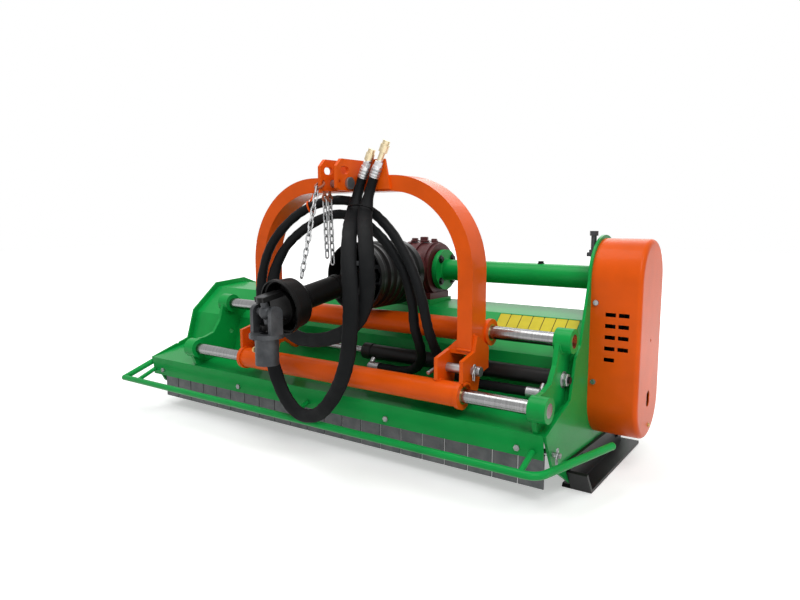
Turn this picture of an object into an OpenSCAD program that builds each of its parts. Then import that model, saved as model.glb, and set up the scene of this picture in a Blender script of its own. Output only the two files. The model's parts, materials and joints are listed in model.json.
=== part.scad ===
// Tractor flail mower with hydraulic side shift, at rest on its skids and roller.
// Working frame: X across the deck from its middle, Y back from the front nose, Z up from the ground.

/* [Deck] */
// Width over the two side plates
deck_w = 1690; // [1600:10:1800]
// Thickness of the side plates
plate_t = 8; // [6:0.5:10]
// Thickness of the folded deck sheet
sheet_t = 5; // [4:0.5:7]
// Height of the front nose above the ground
nose_z = 213; // [205:1:221]
// Height of the front skirt below the nose
skirt_h = 68; // [56:1:76]
// Setback of the skirt's lower edge
skirt_in = 5; // [3:0.5:8]
// Depth of the front shelf
shelf_d = 190; // [186:1:200]
// Rise of the front shelf
shelf_rise = 37; // [30:1:42]
// Height of the wall behind the shelf
wall_h = 122; // [112:1:130]
// Lean of the wall
wall_lean = 38; // [30:1:46]
// Depth of the sloping front of the hood
slope_d = 117; // [110:1:125]
// Height of the sloping front of the hood
slope_h = 98; // [90:1:104]
// Depth of the hood's top
top_d = 149; // [140:1:160]
// Rise of the hood's top
top_rise = 10; // [4:1:14]
// Depth of the hood's falling rear
hood_d = 156; // [146:1:166]
// Drop of the hood's falling rear
hood_drop = 60; // [50:1:70]
// Depth of the tail
tail_d = 50; // [42:1:58]
// Drop of the tail
tail_drop = 170; // [150:1:185]
// Height by which the side plates stand proud of the sheet
plate_proud = 20; // [14:1:24]

/* [Side shift] */
// Radius of a slide shaft
shaft_r = 20; // [17:0.5:22]
// Front shaft, distance behind the nose
front_shaft_y = 7; // [4:1:10]
// Front shaft, height
front_shaft_z = 281; // [277:1:286]
// Rear shaft, distance behind the nose
rear_shaft_y = 176; // [173:1:180]
// Rear shaft, height
rear_shaft_z = 436; // [430:1:438]
// Radius of a shaft boss
boss_r = 35; // [32:0.5:37]
// Length of a shaft boss
boss_l = 50; // [44:1:56]
// Thickness of a bracket plate
bracket_t = 14; // [10:1:18]
// Inner face of the left bosses
left_boss_x = -545; // [-560:1:-535]
// Reach of the right bosses beyond the right side plate
boss_out = 5; // [-5:1:15]
// Radius of a sleeve
sleeve_r = 35; // [33:0.5:37]
// Half length of a sleeve
sleeve_half = 446; // [436:1:456]
// Radius of a sleeve's end collar
collar_r = 40; // [38:0.5:42]
// Length of a sleeve's end collar
collar_l = 14; // [10:1:20]
// Wall of a sleeve bush
bush_wall = 5; // [3:0.5:7]
// Length of a sleeve bush
bush_l = 40; // [30:1:60]
// Cylinder axis, distance behind the nose
ram_y = 178; // [176:1:180]
// Cylinder axis, height
ram_z = 324; // [318:1:328]
// Radius of the cylinder's barrel
ram_r = 25; // [22:0.5:27]
// Bore radius of the barrel
ram_bore_r = 20; // [17:0.5:21]
// Radius of the piston rod
rod_r = 12.5; // [10:0.5:14]
// Left end of the barrel
ram_x0 = 120; // [100:1:140]
// Stroke left to the piston at rest, towards the gland
piston_back = 270; // [250:1:300]

/* [Hitch] */
// Middle of the hitch at rest
hitch_x = 152; // [142:1:160]
// Half distance between the leg centres
leg_half = 415; // [405:1:425]
// Width of the arch tube seen from the front
tube_w = 48; // [42:1:54]
// Depth of the arch tube
tube_d = 84; // [78:1:88]
// Front face of the arch
arch_y = 62; // [58:1:64]
// Height of the arch's top
arch_z = 902; // [880:1:920]
// Bend radius of the arch tube's middle line
arch_bend = 260; // [230:5:280]
// Height of the underside of the legs
leg_z = 397; // [393:1:402]
// Thickness of a clevis plate
clevis_t = 12; // [10:1:14]
// Gap between the clevis plates
clevis_gap = 70; // [64:1:76]
// Radius of a lower link pin
lower_pin_r = 14; // [11:0.5:15]
// Lower link pin, distance behind the nose
lower_pin_y = 49; // [46:1:52]
// Lower link pin, height
lower_pin_z = 345; // [342:1:350]
// Gap between the top link plates
top_gap = 52; // [46:1:60]
// Radius of the top link pin
top_pin_r = 12.5; // [9.5:0.5:13]
// Height of the top link bracket's upper edge
top_z = 950; // [940:1:960]

/* [Drive] */
// Axle and upper pulley, distance behind the nose
axle_y = 437; // [432:1:442]
// Axle and upper pulley, height
axle_z = 591; // [587:1:600]
// Radius of the axle tube
axle_r = 36.5; // [33:0.5:40]
// Wall of the axle tube
axle_wall = 4; // [3:0.5:6]
// Radius of the drive shaft
drive_r = 17.5; // [15:0.5:20]
// Middle of the gearbox
gear_x = 190; // [185:1:195]
// Radius of the gearbox drum
gear_r = 92; // [86:1:96]
// Width of the gearbox drum
gear_w = 140; // [130:1:150]
// Outer radius of the guard bell
bell_r = 108; // [100:1:112]
// Front edge of the guard bell
bell_y = 31; // [28:1:36]
// Length of the guard bell
bell_l = 237; // [220:1:250]
// Wall of the guard bell
bell_wall = 4; // [3:0.5:5]
// Number of ribs round the guard bell
bell_ribs = 6; // [3:1:9]
// Radius of the drive pulley
drive_pulley_r = 85; // [75:1:95]
// Radius of the rotor pulley
rotor_pulley_r = 65; // [55:1:75]
// Number of V-belts
belts = 3; // [1:1:3]
// Radius of the belt cover's round ends
cover_r = 122; // [118:1:128]
// Depth of the belt cover
cover_t = 144; // [138:1:156]
// Sheet of the belt cover
cover_wall = 3; // [2:0.5:4]
// Edge rounding of the belt cover
cover_round = 14; // [8:1:18]
// Number of vent rows
vent_rows = 5; // [3:1:6]
// Pitch of the vent rows
vent_pitch = 33; // [26:1:36]

/* [Rotor and roller] */
// Rotor axis, height
rotor_z = 235; // [228:1:240]
// Radius of the rotor tube
rotor_r = 70; // [60:1:76]
// Radius of the rotor's stub shafts
stub_r = 22.5; // [20:0.5:25]
// Radius swept by the flail tips
flail_tip_r = 185; // [170:1:190]
// Number of flails
flails = 22; // [12:1:24]
// Turn from one flail to the next
flail_turn = 100; // [60:5:120]
// Radius of the rear roller
roller_r = 75; // [66:1:80]
// Roller axis, distance behind the nose
roller_y = 760; // [752:1:768]
// Gap between an end of the roller and the side plate
roller_gap = 42; // [37:1:97]
// Sole width of a skid
skid_w = 60; // [50:1:64]
// Sole thickness of a skid
skid_t = 10; // [8:1:12]

/* [Front guard] */
// Number of flaps
flaps = 21; // [18:3:21]
// Gap between two flaps
flap_gap = 3.5; // [2:0.5:8]
// Thickness of a flap
flap_t = 4; // [3:0.5:6]
// Height of the flaps' lower edge
flap_z = 46; // [40:1:60]
// Flap rod, distance behind the nose
flap_rod_y = 52; // [50:1:58]
// Flap rod, height
flap_rod_z = 150; // [144:1:156]
// Radius of the flap rod
flap_rod_r = 7; // [5:0.5:8]
// Radius of the bumper bar
bar_r = 11; // [8:0.5:13]
// Distance of the bumper bar in front of the nose
bar_y = -80; // [-90:1:-70]
// Height of the bumper bar
bar_z = 133; // [125:1:140]
// Reach of the bumper bar's left corner beyond the left side plate
bar_left_out = 69; // [60:1:80]
// Reach of the bumper bar's right end beyond the right side plate
bar_right_out = 97; // [85:1:105]
// Right end of the bumper bar, distance behind the nose
bar_back = 250; // [235:1:260]

/* [Drive shaft] */
// Rear joint, distance behind the nose
joint_y = 85; // [80:1:90]
// Front joint, distance behind the nose
nose_joint_y = -302; // [-312:1:-292]
// Front joint, across the deck
nose_joint_x = 147; // [140:1:155]
// Front joint, height
nose_joint_z = 516; // [506:1:526]
// Radius of the outer guard tube
guard_r = 35; // [33:0.5:36]
// Radius of the front cone's rim
cone_r = 80; // [74:1:84]
// Radius of a joint's trunnions
trunnion_r = 11; // [9:0.5:12]
// Radius of the tractor yoke's hub
yoke_r = 33; // [31:0.5:36]
// Bore radius of the tractor yoke
yoke_bore_r = 17.5; // [15:0.5:22]

/* [Chains and hoses] */
// Wire radius of a chain link
link_wire = 2.5; // [2:0.25:3]
// Spacing of the chain links
link_pitch = 22; // [20:0.5:26]
// Outer radius of a hose
hose_r = 15; // [11:0.5:16]

/* [Clearances] */
// Running clearance of a turning or sliding shaft
run_gap = 0.06; // [0.03:0.01:0.09]
// Fit between pieces that are bolted or pressed together
fit_gap = 0.05; // [0.02:0.01:0.1]
// Weld gap between curved pieces of one frame
weld_gap = 0.2; // [0.1:0.05:0.4]

/* [Hidden] */
$fn = 48;

green = "#2fa34a";
orange = "#e8601c";
maroon = "#5a1a22";
black = "#17181a";
steel = "#b9bcc0";
chrome = "#d4d7da";
brass = "#b8923e";

// Round stock in the three directions
module xcyl(x0, len, r, y, z) { translate([x0, y, z]) rotate([0, 90, 0]) cylinder(h = len, r = r); }
module ycyl(x, y0, len, r, z) { translate([x, y0, z]) rotate([-90, 0, 0]) cylinder(h = len, r = r); }
module zcyl(x, y, z0, len, r) { translate([x, y, z0]) cylinder(h = len, r = r); }
module xhex(x0, len, r, y, z) { translate([x0, y, z]) rotate([0, 90, 0]) cylinder(h = len, r = r, $fn = 6); }
// A ring of material along X
module xring(x0, len, r_out, r_in, y, z) {
    difference() {
        xcyl(x0, len, r_out, y, z);
        xcyl(x0 - 1, len + 2, r_in, y, z);
    }
}
// A profile in the Y-Z plane, drawn out along X
module yz(x0, len) { translate([x0, 0, 0]) rotate([90, 0, 90]) linear_extrude(len) children(); }
// A round bar between two points
module bar(p, q, r) {
    d = q - p;
    translate(p) rotate([0, acos(d[2] / norm(d)), atan2(d[1], d[0])]) cylinder(h = norm(d), r = r);
}

// Side offset of an open path, to its left for a positive distance
function unit(v) = v / norm(v);
function left_of(p, q) = let (d = unit(q - p)) [-d[1], d[0]];
function side_path(path, dist) = [for (i = [0:len(path) - 1])
    let (a = i == 0 ? left_of(path[0], path[1]) : left_of(path[i - 1], path[i]),
         b = i == len(path) - 1 ? a : left_of(path[i], path[i + 1]))
    path[i] + dist * (a + b) / (1 + a * b)];
function backwards(list) = [for (i = [len(list) - 1:-1:0]) list[i]];

// Deck section
half_w = deck_w / 2;
inner_x = half_w - plate_t;
right_boss_x = half_w + boss_out;
nose = [0, nose_z];
skirt_low = [skirt_in, nose_z - skirt_h];
shelf_end = [shelf_d, nose_z + shelf_rise];
wall_top = shelf_end + [wall_lean, wall_h];
slope_top = wall_top + [slope_d, slope_h];
top_end = slope_top + [top_d, top_rise];
hood_end = top_end + [hood_d, -hood_drop];
tail_end = hood_end + [tail_d, -tail_drop];
deck_path = [skirt_low, nose, shelf_end, wall_top, slope_top, top_end, hood_end, tail_end];
plate_path = side_path([nose, shelf_end, wall_top, slope_top, top_end, hood_end, tail_end], plate_proud);
skid_y0 = 203;
skid_y1 = tail_end[0];
plate_outline = concat([nose], [for (i = [1:6]) plate_path[i]],
    [[tail_end[0] + plate_proud, 130], [skid_y1 - 10, skid_t], [skid_y0 + 8, skid_t], [56, 105], [8, 192]]);
function skirt_y(z) = skirt_in * (nose_z - z) / skirt_h;
function shelf_z(y) = nose_z + shelf_rise * y / shelf_d;

// Drive line
drum_x0 = gear_x - gear_w / 2;
drum_x1 = gear_x + gear_w / 2;
neck_l = 6;
flange_t = 18;
tube_x0 = drum_x1 + neck_l;
plate_flange_t = 12;
plate_flange_r = 62;
land_l = 25;
shaft_hole_r = 30;
pedestal_z = axle_z - gear_r - 9;
box_front_y = axle_y - 137;
input_l = 45;
bell_rib = 4;
plug_h = 7;
tower_r = cover_r + 10;
cover_x = half_w + cover_t;
pulley_x0 = half_w + 46;
belt_w = 12;
belt_h = 9;
belt_gap = 0.8;
groove_pitch = 18;
pulley_w = 3 * groove_pitch + 6;
stub_end = pulley_x0 + pulley_w + 8;

// Hitch
leg_out = leg_half + tube_w / 2;
outer_plate = [leg_out, leg_out + clevis_t];
inner_plate = [leg_out - clevis_gap - clevis_t, leg_out - clevis_gap];
cap_t = 12;
lug_r = 26;
stud_r = 10;
top_pin_y = 10;
top_pin_z = 878;
bracket_z = 855;
coupler_y = arch_y - 8 - hose_r - 0.5;
coupler_tilt = 25;
coupler_foot = [[232, coupler_y, 922], [276, coupler_y, 922]];
coupler_l = [62, 86];
right_plate_x = right_boss_x - boss_l + 6;
left_plate_x = left_boss_x - boss_l / 2 - bracket_t / 2;

// Drive shaft
joint = [gear_x, joint_y, axle_z];
nose_joint = [nose_joint_x, nose_joint_y, nose_joint_z];
shaft_run = nose_joint - joint;
shaft_l = norm(shaft_run);
shaft_drop = asin(-shaft_run[2] / shaft_l);
shaft_yaw = atan2(shaft_run[0], -shaft_run[1]);
ear_in = 33;
ear_out = 47;
ear_half = 20;
ear_nose = 16;
ear_back = 52;
yoke_disc = 12;
hub_z = [-146, -58];
pin_drop = 112;

// Outline box, for the origin under the middle
knuckle_r = bar_r + 0.5;
bar_bend = 45;
bar_left = half_w + bar_left_out;
box_x0 = -(bar_left + knuckle_r);
box_x1 = cover_x;
box_y0 = nose_joint_y - ear_out - 1;
box_y1 = roller_y + roller_r;
origin = [(box_x0 + box_x1) / 2, (box_y0 + box_y1) / 2, 0];
module part_frame() { translate(-origin) children(); }
module shaft_frame() { translate(joint) rotate([0, 0, shaft_yaw]) rotate([shaft_drop, 0, 0]) children(); }
module yoke_frame() { translate(nose_joint) rotate([0, 0, shaft_yaw]) children(); }

// Deck
module deck_shell() {
    color(green) part_frame()
    yz(-inner_x, 2 * inner_x) polygon(concat(deck_path, backwards(side_path(deck_path, -sheet_t))));
}

module side_plate(x0) {
    difference() {
        union() {
            yz(x0, plate_t) polygon(plate_outline);
            children();
        }
        xcyl(x0 - 1, plate_t + 2, shaft_hole_r, axle_y, rotor_z);
        xcyl(x0 - 1, plate_t + 2, flap_rod_r + 0.4, flap_rod_y, flap_rod_z);
    }
}

module left_side_plate() {
    color(green) part_frame()
    difference() {
        side_plate(-half_w);
        xcyl(-half_w - 1, plate_t + 2, 7, 125, shelf_z(125) + 18);
    }
}

module right_side_plate() {
    color(green) part_frame()
    difference() {
        side_plate(inner_x) {
            xcyl(inner_x, plate_t, tower_r, axle_y, axle_z);
            yz(inner_x, plate_t) polygon([[axle_y - tower_r, axle_z], plate_path[2] + [26, 4], [axle_y, rotor_z],
                [axle_y + tower_r, rotor_z], [axle_y + tower_r, axle_z]]);
        }
        xcyl(inner_x - 1, plate_t + 2, shaft_hole_r, axle_y, axle_z);
        xcyl(inner_x - 1, plate_t + 2, 6, 150, 285);
    }
}

module shaft_bracket(plate_x, boss_x) {
    slope_mid = (wall_top + slope_top) / 2;
    difference() {
        union() {
            yz(plate_x, bracket_t) polygon([[6, shelf_z(6)], shelf_end, wall_top, slope_mid,
                [rear_shaft_y + 20, rear_shaft_z + boss_r * 0.8], [rear_shaft_y - boss_r + 2, rear_shaft_z + 6],
                [rear_shaft_y - 52, rear_shaft_z - 62], [rear_shaft_y - 84, rear_shaft_z - 106],
                [front_shaft_y + 40, front_shaft_z + 36], [front_shaft_y - 4, front_shaft_z + boss_r - 2],
                [front_shaft_y - boss_r + 4, front_shaft_z]]);
            xcyl(boss_x, boss_l, boss_r, front_shaft_y, front_shaft_z);
            xcyl(boss_x, boss_l, boss_r, rear_shaft_y, rear_shaft_z);
        }
        xcyl(boss_x - 1, boss_l + 2, shaft_r + fit_gap, front_shaft_y, front_shaft_z);
        xcyl(boss_x - 1, boss_l + 2, shaft_r + fit_gap, rear_shaft_y, rear_shaft_z);
        xcyl(plate_x - 1, bracket_t + 2, stud_r + 0.2, ram_y, ram_z);
    }
}

module left_shaft_bracket() { color(green) part_frame() shaft_bracket(left_plate_x, left_boss_x - boss_l); }
module right_shaft_bracket() { color(green) part_frame() shaft_bracket(right_plate_x, right_boss_x - boss_l); }

module slide_shaft(y, z) {
    color(chrome) part_frame()
    xcyl(left_boss_x - boss_l, right_boss_x - left_boss_x + boss_l, shaft_r, y, z);
}
module front_slide_shaft() { slide_shaft(front_shaft_y, front_shaft_z); }
module rear_slide_shaft() { slide_shaft(rear_shaft_y, rear_shaft_z); }

// Gearbox and axle
module axle_tube() {
    color(green) part_frame()
    difference() {
        union() {
            xcyl(tube_x0, flange_t, 71, axle_y, axle_z);
            xcyl(tube_x0, inner_x - tube_x0, axle_r, axle_y, axle_z);
            xcyl(inner_x - plate_flange_t, plate_flange_t, plate_flange_r, axle_y, axle_z);
            for (a = [45:90:315])
                xhex(tube_x0 + flange_t - 1, 9, 9, axle_y + 55 * cos(a), axle_z + 55 * sin(a));
            zcyl(638, axle_y, axle_z + axle_r - 2, 9, 8);
        }
        xcyl(tube_x0 - 1, inner_x - tube_x0 - land_l + 1, axle_r - axle_wall, axle_y, axle_z);
        xcyl(tube_x0, inner_x - tube_x0 + 1, drive_r + run_gap, axle_y, axle_z);
    }
}

module gearbox_pedestal() {
    color(green) part_frame()
    yz(drum_x0 - 10, gear_w + 20) polygon([slope_top, top_end, [top_end[0], pedestal_z], [slope_top[0], pedestal_z]]);
}

module gearbox_housing() {
    color(maroon) part_frame()
    difference() {
        union() {
            xcyl(drum_x0, gear_w, gear_r, axle_y, axle_z);
            xcyl(drum_x0 - 13, 13, 72, axle_y, axle_z);
            xcyl(drum_x1, neck_l, 64, axle_y, axle_z);
            ycyl(gear_x, box_front_y, axle_y - box_front_y, 66, axle_z);
            ycyl(gear_x, box_front_y, 16, 78, axle_z);
            for (x = [drum_x0 + 14, gear_x - 7, drum_x1 - 28])
                xcyl(x, 14, gear_r + 6, axle_y, axle_z);
            translate([drum_x0 - 6, slope_top[0] + 12, pedestal_z]) cube([gear_w + 12, top_d - 24, 22]);
        }
        ycyl(gear_x, box_front_y - 1, input_l + 1, drive_r + fit_gap, axle_z);
        xcyl(drum_x1 - 60, 60 + neck_l + 1, drive_r + run_gap, axle_y, axle_z);
        translate([drum_x0 - 20, axle_y - gear_r - 20, pedestal_z - 20]) cube([gear_w + 40, 2 * gear_r + 40, 20]);
    }
}

module gearbox_plugs() {
    color(black) part_frame() {
        translate([gear_x, axle_y, axle_z + gear_r + 6]) cylinder(h = 14, r = 12, $fn = 6);
        translate([gear_x - 40, axle_y, axle_z + gear_r + 6]) cylinder(h = 9, r = 9, $fn = 6);
        for (a = [30:60:330])
            translate([gear_x + 70 * cos(a), box_front_y, axle_z + 70 * sin(a)])
                rotate([90, 0, 0]) cylinder(h = plug_h, r = 7, $fn = 6);
        for (a = [30:60:330])
            xhex(drum_x0 - 13 - plug_h, plug_h, 7, axle_y + 58 * cos(a), axle_z + 58 * sin(a));
    }
}

module ear(side) { translate([-ear_half, -ear_nose, side > 0 ? ear_in : -ear_out]) cube([2 * ear_half, ear_nose + ear_back + 2, ear_out - ear_in]); }

// A joint yoke: ears above and below the trunnion, opening towards -Y
module joint_yoke() {
    difference() {
        union() {
            for (side = [-1, 1]) {
                ear(side);
                zcyl(0, 0, side > 0 ? ear_in : -ear_out, ear_out - ear_in, ear_half);
            }
            ycyl(0, ear_back, yoke_disc, ear_out + 1, 0);
        }
        zcyl(0, 0, -ear_out - 1, 2 * ear_out + 2, trunnion_r + run_gap);
    }
}

module input_yoke() {
    color(steel) part_frame() translate(joint) {
        joint_yoke();
        ycyl(0, ear_back + yoke_disc, 30, 27, 0);
        ycyl(0, ear_back + yoke_disc, box_front_y + input_l - joint_y - ear_back - yoke_disc - 1, drive_r, 0);
    }
}

module guard_bell() {
    bell_end = bell_y + bell_l;
    bell_foot = box_front_y - plug_h - 0.3;
    color(black) part_frame() translate([gear_x, 0, axle_z]) rotate([-90, 0, 0])
    rotate_extrude($fn = 72) polygon(concat(
        [[bell_r - bell_wall, bell_y], [bell_r, bell_y]],
        [for (i = [0:bell_ribs - 1]) let (y0 = bell_y + 18 + i * (bell_l - 40) / bell_ribs,
            w = (bell_l - 40) / bell_ribs) each [[bell_r, y0], [bell_r - bell_rib, y0 + w * 0.35],
            [bell_r - bell_rib, y0 + w * 0.6], [bell_r, y0 + w * 0.95]]],
        [[bell_r, bell_end], [80, bell_foot], [40, bell_foot], [40, bell_foot - 5], [77, bell_foot - 5], [bell_r - 2 * bell_wall - bell_rib, bell_end - 4],
         [bell_r - 2 * bell_wall - bell_rib, bell_y + 16]]));
}

// Belt drive
module cover_body(r, t, edge) {
    profile = concat([[0, 0], [r, 0], [r, t - edge]],
        [for (a = [15:15:75]) [r - edge + edge * cos(a), t - edge + edge * sin(a)]], [[r - edge, t], [0, t]]);
    for (z = [rotor_z, axle_z])
        translate([half_w, axle_y, z]) rotate([0, 90, 0]) rotate_extrude($fn = 72) polygon(profile);
    translate([half_w, axle_y, rotor_z]) linear_extrude(axle_z - rotor_z)
        polygon([for (p = concat(profile, [for (q = backwards(profile)) [-q[0], q[1]]])) [p[1], p[0]]]);
}

module belt_cover() {
    vent_z = (axle_z + rotor_z) / 2 + 18;
    color(orange) part_frame()
    difference() {
        cover_body(cover_r, cover_t, cover_round);
        translate([-1, 0, 0]) cover_body(cover_r - cover_wall, cover_t - cover_wall + 1, cover_round - cover_wall);
        for (row = [0:vent_rows - 1], x = row == 0 ? [44] : [44, 82])
            translate([half_w + x, axle_y - cover_r - 5, vent_z + (row - (vent_rows - 1) / 2) * vent_pitch - 6])
                cube([30, 12, 12]);
        for (z = [rotor_z - 8, rotor_z + 8])
            xcyl(cover_x - cover_wall - 2, cover_wall + 4, 17, axle_y, z);
        xcyl(cover_x - cover_wall - 2, cover_wall + 4, 5, axle_y, (axle_z + rotor_z) / 2);
    }
}

module cover_screws() {
    color(chrome) part_frame()
    for (z = [rotor_z + 60, axle_z - 61], side = [-1, 1])
        translate([half_w + 16, axle_y + side * cover_r, z]) rotate([-90 * side, 0, 0]) cylinder(h = 5, r = 8);
}

module belt_tensioner() {
    lug_x = inner_x - 32;
    color(green) part_frame() {
        difference() {
            translate([lug_x, axle_y - 55, axle_z + 68]) cube([32, 34, 12]);
            zcyl(lug_x + 15, axle_y - 38, axle_z + 60, 30, 8.2);
        }
        zcyl(lug_x + 15, axle_y - 38, axle_z + 58, 72, 8);
        translate([lug_x + 15, axle_y - 38, axle_z + 80]) difference() {
            cylinder(h = 8, r = 14, $fn = 6);
            translate([0, 0, -1]) cylinder(h = 10, r = 8.2);
        }
        translate([lug_x + 15, axle_y - 38, axle_z + 130]) cylinder(h = 14, r = 13, $fn = 6);
    }
}

module pulley(r, bore, y, z) {
    translate([pulley_x0, y, z]) rotate([0, 90, 0]) rotate_extrude($fn = 72)
        polygon(concat([[bore, 0], [r, 0]],
            [for (i = [0:2]) let (x = 3 + i * groove_pitch) each [[r, x + 1], [r - belt_h - 1, x + 2],
                [r - belt_h - 1, x + groove_pitch - 2], [r, x + groove_pitch - 1]]],
            [[r, pulley_w], [bore, pulley_w]]));
}
module drive_pulley() { color(steel) part_frame() pulley(drive_pulley_r, drive_r + fit_gap, axle_y, axle_z); }
module rotor_pulley() { color(steel) part_frame() pulley(rotor_pulley_r, stub_r + fit_gap, axle_y, rotor_z); }

// A belt loop round both pulleys, at a given height over the groove floors
function belt_loop(h) = let (ra = drive_pulley_r - belt_h - 1 + h, rb = rotor_pulley_r - belt_h - 1 + h,
    tilt = asin((ra - rb) / (axle_z - rotor_z)))
    concat([for (a = [-tilt:(180 + 2 * tilt) / 24:180 + tilt]) [axle_y + ra * cos(a), axle_z + ra * sin(a)]],
        [for (a = [180 + tilt:(180 - 2 * tilt) / 20:360 - tilt]) [axle_y + rb * cos(a), rotor_z + rb * sin(a)]]);
module drive_belts() {
    color(black) part_frame()
    for (i = [0:belts - 1])
        yz(pulley_x0 + 3 + i * groove_pitch + (groove_pitch - belt_w) / 2, belt_w) difference() {
            polygon(belt_loop(belt_gap + belt_h));
            polygon(belt_loop(belt_gap));
        }
}

module drive_shaft() {
    color(steel) part_frame() xcyl(drum_x1 - 50, stub_end - drum_x1 + 50, drive_r, axle_y, axle_z);
}

// Rotor
bearing_t = 32;
rotor_half = inner_x - 37;
flail_pitch = (2 * rotor_half - 70) / (flails - 1);
lug_hole = rotor_r + 27;
module rotor_tube() {
    color(steel) part_frame()
    difference() {
        union() {
            xcyl(-rotor_half, 2 * rotor_half, rotor_r, axle_y, rotor_z);
            xcyl(-half_w - bearing_t - 4, half_w + bearing_t + 4 + stub_end, stub_r, axle_y, rotor_z);
            for (i = [0:flails - 1])
                translate([35 - rotor_half + i * flail_pitch, axle_y, rotor_z]) rotate([i * flail_turn, 0, 0])
                    for (x = [-13, 7]) translate([x, -16, 0]) cube([6, 32, lug_hole + 12]);
        }
        for (i = [0:flails - 1])
            translate([35 - rotor_half + i * flail_pitch, axle_y, rotor_z]) rotate([i * flail_turn, 0, 0])
                xcyl(-14, 28, 6 + fit_gap, 0, lug_hole);
    }
}

module rotor_flails() {
    color(steel) part_frame()
    for (i = [0:flails - 1])
        translate([35 - rotor_half + i * flail_pitch, axle_y, rotor_z]) rotate([i * flail_turn, 0, 0]) {
            translate([-6, -12, lug_hole - 14]) cube([12, 24, flail_tip_r - lug_hole - 16]);
            translate([-26, -12, flail_tip_r - 32]) cube([52, 24, 30]);
            xcyl(-20, 40, 6, 0, lug_hole);
        }
}

module bearing(x0) {
    difference() {
        union() {
            xcyl(x0, 14, 58, axle_y, rotor_z);
            xcyl(x0, bearing_t, 40, axle_y, rotor_z);
        }
        xcyl(x0 - 1, bearing_t + 2, stub_r + run_gap, axle_y, rotor_z);
    }
}
module rotor_bearings() {
    color(black) part_frame() {
        bearing(half_w);
        mirror([1, 0, 0]) bearing(half_w);
    }
}

// Roller and skids
stub_axle_r = 17.5;
roller_half = inner_x - roller_gap;
module rear_roller() {
    color(black) part_frame() {
        xcyl(-roller_half, 2 * roller_half, roller_r, roller_y, roller_r);
        xcyl(-inner_x + 1, 2 * inner_x - 2, stub_axle_r, roller_y, roller_r);
    }
}

module roller_bracket() {
    bracket_x = inner_x - 12;
    difference() {
        union() {
            xcyl(bracket_x, 12, 36, roller_y, roller_r);
            yz(bracket_x, 12) polygon([tail_end - [90, 0], tail_end - [10, 0], [roller_y + 34, roller_r + 12],
                [roller_y - 26, roller_r - 25], tail_end - [90, 100]]);
        }
        xcyl(bracket_x - 1, 14, stub_axle_r + run_gap, roller_y, roller_r);
    }
}
module roller_brackets() {
    color(green) part_frame() {
        roller_bracket();
        mirror([1, 0, 0]) roller_bracket();
    }
}

module skid() {
    heel = [skid_y0 + 5, skid_t];
    tip = [skid_y0 - 38, 70];
    yz(inner_x - 20, plate_t + 20 + skid_w) polygon([[skid_y0, 0], [skid_y1, 0], [skid_y1, skid_t], heel]);
    yz(half_w, skid_w) polygon([[skid_y0, 0], heel, tip, tip - [8, 4]]);
    yz(half_w, skid_t) polygon([heel + 1.5 * (tip - heel), heel, [skid_y1 - 40, skid_t], [skid_y1 - 40, skid_t + 70],
        [skid_y0 + 60, skid_t + 86]]);
}
module right_skid() { color(black) part_frame() skid(); }
module left_skid() { color(black) part_frame() mirror([1, 0, 0]) skid(); }

// Front guard
module front_bumper() {
    left_end = [-half_w - bar_r - 0.3, 40, nose_z - 13];
    left_corner = [-bar_left, bar_y, bar_z];
    right_bend = [half_w + 12, bar_y, bar_z];
    right_end = [half_w + bar_right_out, bar_back, bar_z];
    turn = atan2(right_end[1] - right_bend[1], right_end[0] - right_bend[0]);
    set = bar_bend * tan(turn / 2);
    color(green) part_frame() {
        bar(left_end, left_corner, bar_r);
        translate(left_corner) sphere(knuckle_r);
        bar(left_corner, right_bend - [set, 0, 0], bar_r);
        translate(right_bend + [-set, bar_bend, 0]) rotate([0, 0, -90]) rotate_extrude(angle = turn)
            translate([bar_bend, 0]) circle(bar_r);
        bar(right_bend + set * unit(right_end - right_bend), right_end, bar_r);
        translate(right_end) sphere(knuckle_r);
        for (x = [-half_w + 18, 9, half_w - 36])
            bar([x, bar_y, bar_z], [x, skirt_y(165) - 3.4, 165], 8);
    }
}

module skirt_bolts() {
    color(steel) part_frame()
    for (x = [71 - half_w, -328, 332, half_w - 81])
        translate([x, skirt_y(nose_z - 38) - 0.2, nose_z - 46]) rotate([90, 0, 0]) cylinder(h = 6, r = 9, $fn = 6);
}

module flap_rod() {
    color(steel) part_frame() {
        xcyl(-half_w - 8, 2 * half_w + 30, flap_rod_r, flap_rod_y, flap_rod_z);
        xcyl(-half_w - 14, 6, flap_rod_r + 5, flap_rod_y, flap_rod_z);
    }
}

// A spring clip: a straight leg through the pin's hole, bent round into an eye
module clip(p) {
    translate(p) {
        zcyl(0, 0, -24, 34, 2);
        translate([0, 0, 16]) rotate([0, 90, 0]) rotate_extrude() translate([6, 0]) circle(2, $fn = 16);
        bar([0, -2, 10.5], [0, -11, -4], 2);
        bar([0, -11, -4], [0, -7, -22], 2);
    }
}
module rod_clip() { color(steel) part_frame() clip([half_w + 16, flap_rod_y - flap_rod_r - 2.3, flap_rod_z]); }

flap_pitch = (2 * inner_x - 26) / flaps;
flap_w = flap_pitch - flap_gap;
module flap(i) {
    x = -inner_x + 13 + i * flap_pitch + flap_gap / 2;
    difference() {
        union() {
            translate([x, flap_rod_y - flap_t / 2, flap_z]) cube([flap_w, flap_t, flap_rod_z - flap_z]);
            xcyl(x, flap_w, flap_rod_r + flap_t, flap_rod_y, flap_rod_z);
        }
        xcyl(x - 1, flap_w + 2, flap_rod_r + run_gap, flap_rod_y, flap_rod_z);
    }
}
module flap_group(k) { color(steel) part_frame() for (i = [0:flaps / 3 - 1]) flap(k * flaps / 3 + i); }
module left_flaps() { flap_group(0); }
module middle_flaps() { flap_group(1); }
module right_flaps() { flap_group(2); }

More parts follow.
